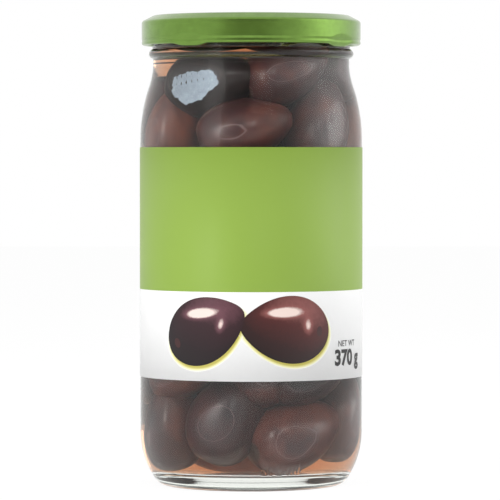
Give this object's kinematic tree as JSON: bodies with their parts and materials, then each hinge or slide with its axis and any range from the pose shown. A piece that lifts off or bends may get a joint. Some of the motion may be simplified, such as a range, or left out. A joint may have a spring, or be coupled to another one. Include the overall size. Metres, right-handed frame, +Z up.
{
  "type": "jar of olives",
  "caption": "Sealed round glass jar of whole dark olives in brine, with a narrowed neck, a green twist-off lid and a green and white wrap-round label.",
  "frame": {"origin": "centre of the jar's standing ring, on the table plane", "axes": "+Z up along the jar's axis; -Y towards the middle of the label; +X to the right of someone who looks at the label"},
  "size_m": [0.0674, 0.0674, 0.1422],
  "materials": {
    "clear_glass": "clear, smooth",
    "lacquered_tinplate": "satin metallic green lacquer",
    "printed_paper": "satin printed paper, green over white",
    "olives_and_brine": "wet, dark red-brown"
  },
  "bodies": {
    "root": {"glass_jar": "clear_glass", "twist_lid": "lacquered_tinplate", "paper_label": "printed_paper", "olives_in_brine": "olives_and_brine"}
  },
  "joints": []
}
